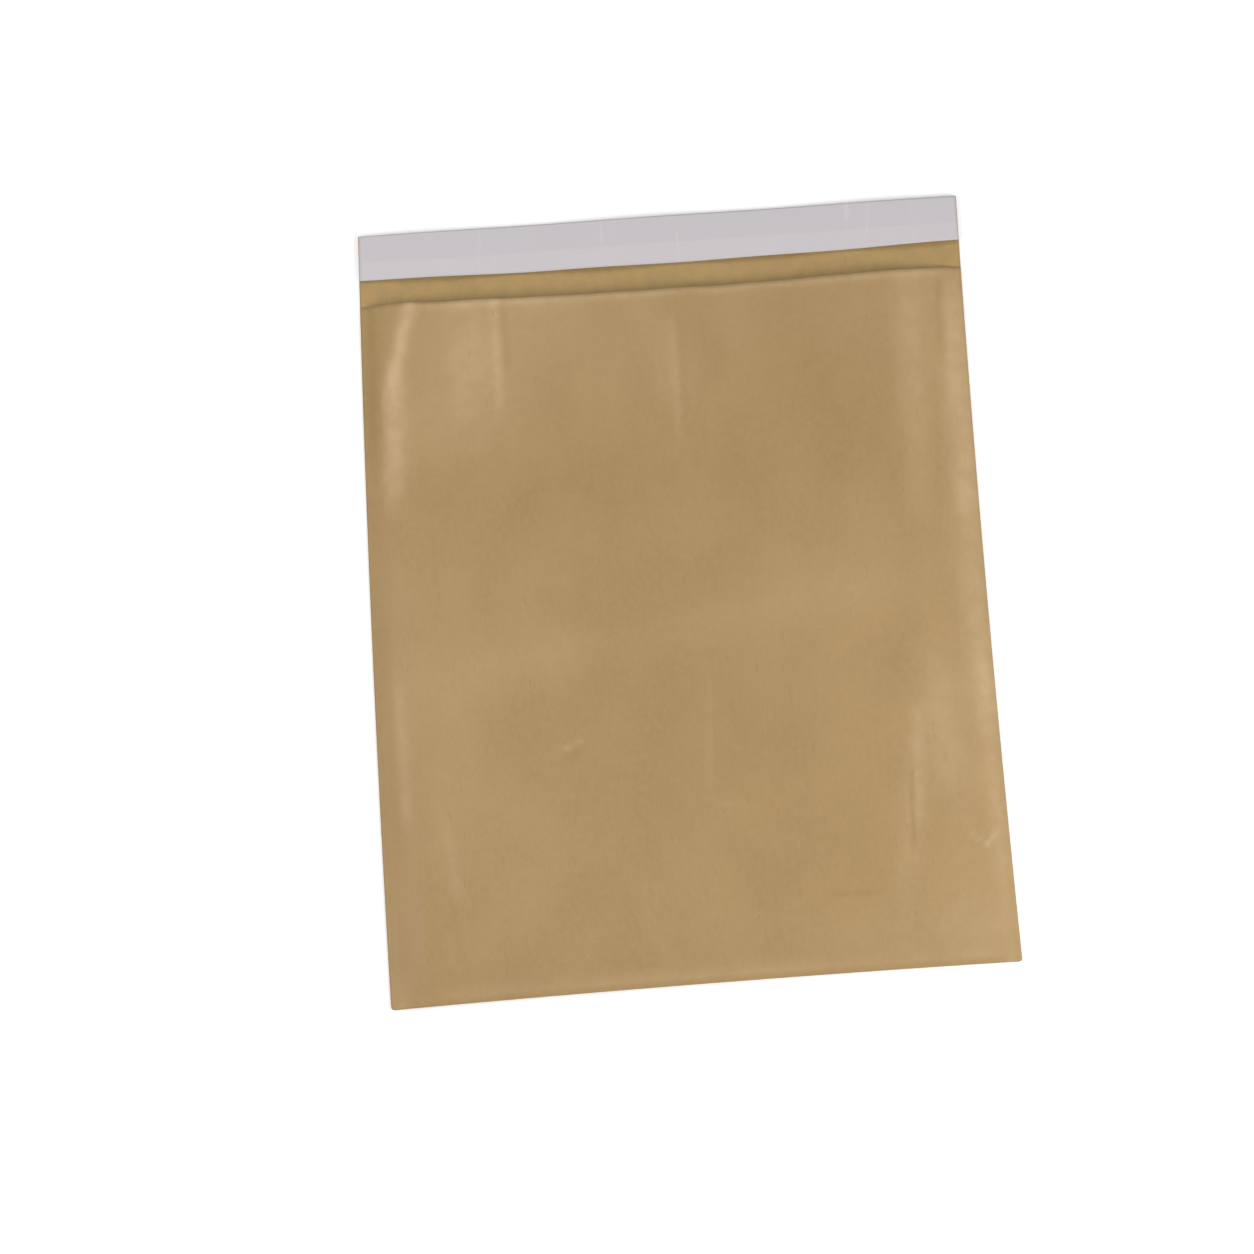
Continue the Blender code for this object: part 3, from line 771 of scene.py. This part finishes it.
def make_floor_material():
    """White floor that keeps the object's shadow, with a white of its own that grows away from the lights."""
    nodes = Nodes("floor_white")
    away = nodes.tree.nodes.new("ShaderNodeVectorMath")
    away.operation = "LENGTH"
    nodes.set(away.inputs[0], nodes.place())
    distance = away.outputs["Value"]
    own = nodes.ramp(distance, FLOOR_WHITE_START, FLOOR_WHITE_END, FLOOR_WHITE_NEAR, FLOOR_WHITE_FAR)
    own = nodes.compute("MULTIPLY", own, seen_directly(nodes.tree))
    return nodes.finish(Base_Color=FLOOR_COLOUR, Roughness=0.9, Specular_IOR_Level=0.1,
                        Emission_Color=WHITE, Emission_Strength=own)


def make_floor():
    """A wide plain floor just under the envelope."""
    half = FLOOR_HALF
    corners = [(-half, -half, 0), (half, -half, 0), (half, half, 0), (-half, half, 0)]
    floor = make_object("floor", corners, [(0, 1, 2, 3)], make_floor_material())
    floor.location.z = cad_box[0][2] - FLOOR_GAP


def make_camera():
    """The photograph's view: a long lens high above the near side, tilted to the middle of the envelope."""
    data = bpy.data.cameras.new("camera")
    data.sensor_width = SENSOR
    data.lens = SENSOR * FOCAL_PIXELS / FRAME_PIXELS
    data.clip_start = CLIP_START
    camera = bpy.data.objects.new("camera", data)
    camera.location = CAMERA_PLACE
    camera.rotation_euler = [math.radians(angle) for angle in CAMERA_TURN]
    bpy.context.scene.collection.objects.link(camera)
    bpy.context.scene.camera = camera


def make_softbox(name, location, power):
    """A square soft light that looks at the middle of the envelope."""
    data = bpy.data.lights.new(name, "AREA")
    data.shape = "SQUARE"
    data.size = SOFTBOX_SIZE
    data.energy = power
    lamp = bpy.data.objects.new(name, data)
    lamp.location = location
    lamp.rotation_euler = (-Vector(location)).to_track_quat("-Z", "Y").to_euler()
    bpy.context.scene.collection.objects.link(lamp)


def make_light():
    """Even light from all round, a softbox near each side, stronger on the right, and one behind the flap."""
    world = bpy.data.worlds.new("studio")
    world.use_nodes = True
    tree = world.node_tree
    level = tree.nodes.new("ShaderNodeMapRange")
    tree.links.new(seen_directly(tree), level.inputs["Value"])
    level.inputs["To Min"].default_value = WORLD_LEVEL
    level.inputs["To Max"].default_value = 1.0
    background = tree.nodes["Background"]
    background.inputs["Color"].default_value = WHITE
    tree.links.new(level.outputs["Result"], background.inputs["Strength"])
    bpy.context.scene.world = world
    for name, location, power in SOFTBOXES:
        make_softbox(name, location, power)


def main():
    """Set up the view, the floor and the light, and make the pieces on the part's one body."""
    bpy.context.scene.view_settings.view_transform = "Standard"
    make_camera()
    make_floor()
    make_light()
    kraft = make_kraft_material()
    film = make_film_material()
    pieces = (
        (make_cover(kraft), "kraft_paper"),
        (make_film(film), "bubble_film"),
        (make_bubbles("bubbles_back", False, film), "bubble_film"),
        (make_bubbles("bubbles_front", True, film), "bubble_film"),
        (make_adhesive(make_adhesive_material()), "hot_melt"),
        (make_liner(make_liner_material()), "release_paper"),
    )
    for piece, slot in pieces:
        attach(piece, BODY)


main()
